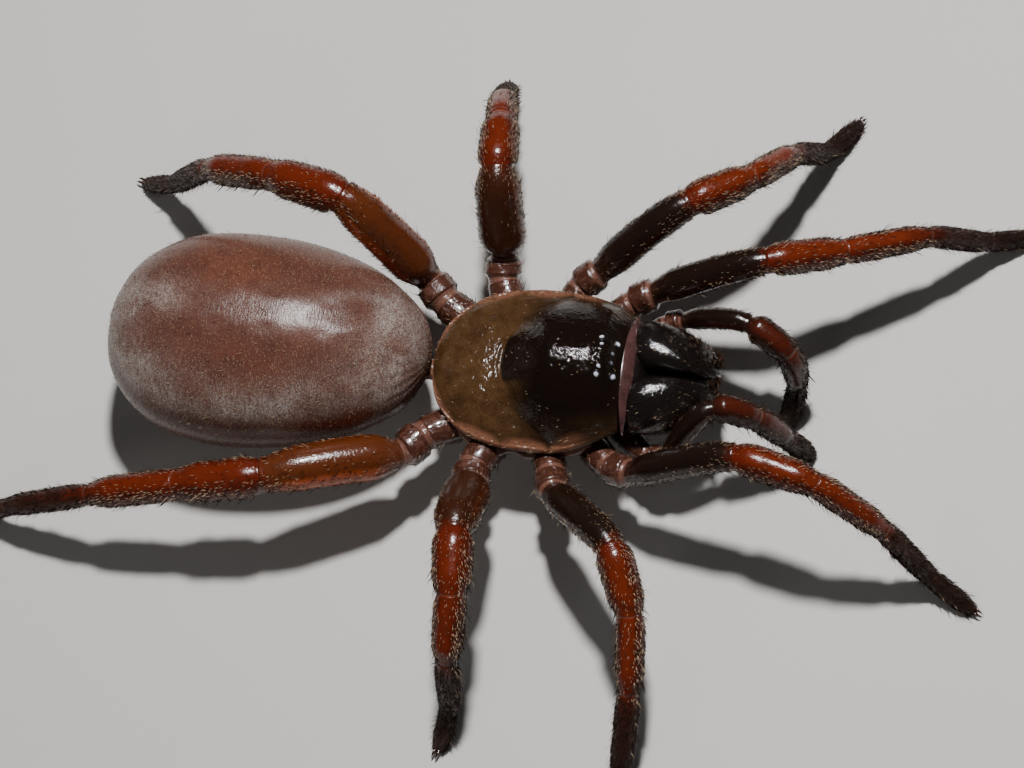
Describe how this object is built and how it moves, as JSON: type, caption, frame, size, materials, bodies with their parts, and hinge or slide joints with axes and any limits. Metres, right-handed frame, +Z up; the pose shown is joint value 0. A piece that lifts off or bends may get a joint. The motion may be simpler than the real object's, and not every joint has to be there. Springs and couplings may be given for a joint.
{
  "type": "trapdoor spider",
  "caption": "Still, life-size museum model of a trapdoor spider standing with bent legs, glossy dark head and legs, purplish brown abdomen.",
  "frame": {"origin": "floor point under the middle of the whole animal's bounding box, legs included", "axes": "+X towards the spider's head, +Y towards its left side, +Z up from the floor"},
  "size_m": [0.0424, 0.0316, 0.0086],
  "materials": {
    "carapace_shell": "glossy black head region, translucent greyish brown behind with an orange-brown rim",
    "eye_lens": "wet-looking dark lens with a bluish cast",
    "abdomen_skin": "dull purplish brown soft skin with a silky grey sheen and short fine golden hairs",
    "chelicera_shell": "glossy black with fine dark bristles",
    "fang_shell": "polished dark red-black",
    "sternum_shell": "satin red-brown plate with short hairs",
    "hip_shell": "glossy red-brown with pale shiny membrane at the joints",
    "femur_shell": "glossy dark brown, amber and translucent below",
    "leg_shell": "glossy mahogany red-brown with short setae",
    "foot_shell": "dark brown, satin, densely bristled"
  },
  "bodies": {
    "root": {"carapace": "carapace_shell", "eye_ame_L": "eye_lens", "eye_ale_L": "eye_lens", "eye_pme_L": "eye_lens", "eye_ple_L": "eye_lens", "eye_ame_R": "eye_lens", "eye_ale_R": "eye_lens", "eye_pme_R": "eye_lens", "eye_ple_R": "eye_lens", "abdomen": "abdomen_skin", "chelicera_L": "chelicera_shell", "fang_L": "fang_shell", "chelicera_R": "chelicera_shell", "fang_R": "fang_shell", "sternum": "sternum_shell", "pedicel": "abdomen_skin", "spinneret_L": "abdomen_skin", "spinneret_R": "abdomen_skin", "leg_L1_hip": "hip_shell", "leg_L1_femur": "femur_shell", "leg_L1_shin": "leg_shell", "leg_L1_foot": "foot_shell", "leg_L2_hip": "hip_shell", "leg_L2_femur": "femur_shell", "leg_L2_shin": "leg_shell", "leg_L2_foot": "foot_shell", "leg_L3_hip": "hip_shell", "leg_L3_femur": "femur_shell", "leg_L3_shin": "leg_shell", "leg_L3_foot": "foot_shell", "leg_L4_hip": "hip_shell", "leg_L4_femur": "femur_shell", "leg_L4_shin": "leg_shell", "leg_L4_foot": "foot_shell", "leg_R1_hip": "hip_shell", "leg_R1_femur": "femur_shell", "leg_R1_shin": "leg_shell", "leg_R1_foot": "foot_shell", "leg_R2_hip": "hip_shell", "leg_R2_femur": "femur_shell", "leg_R2_shin": "leg_shell", "leg_R2_foot": "foot_shell", "leg_R3_hip": "hip_shell", "leg_R3_femur": "femur_shell", "leg_R3_shin": "leg_shell", "leg_R3_foot": "foot_shell", "leg_R4_hip": "hip_shell", "leg_R4_femur": "femur_shell", "leg_R4_shin": "leg_shell", "leg_R4_foot": "foot_shell", "palp_L_maxilla": "hip_shell", "palp_L_femur": "femur_shell", "palp_L_tip": "leg_shell", "palp_R_maxilla": "hip_shell", "palp_R_femur": "femur_shell", "palp_R_tip": "leg_shell"}
  },
  "joints": []
}
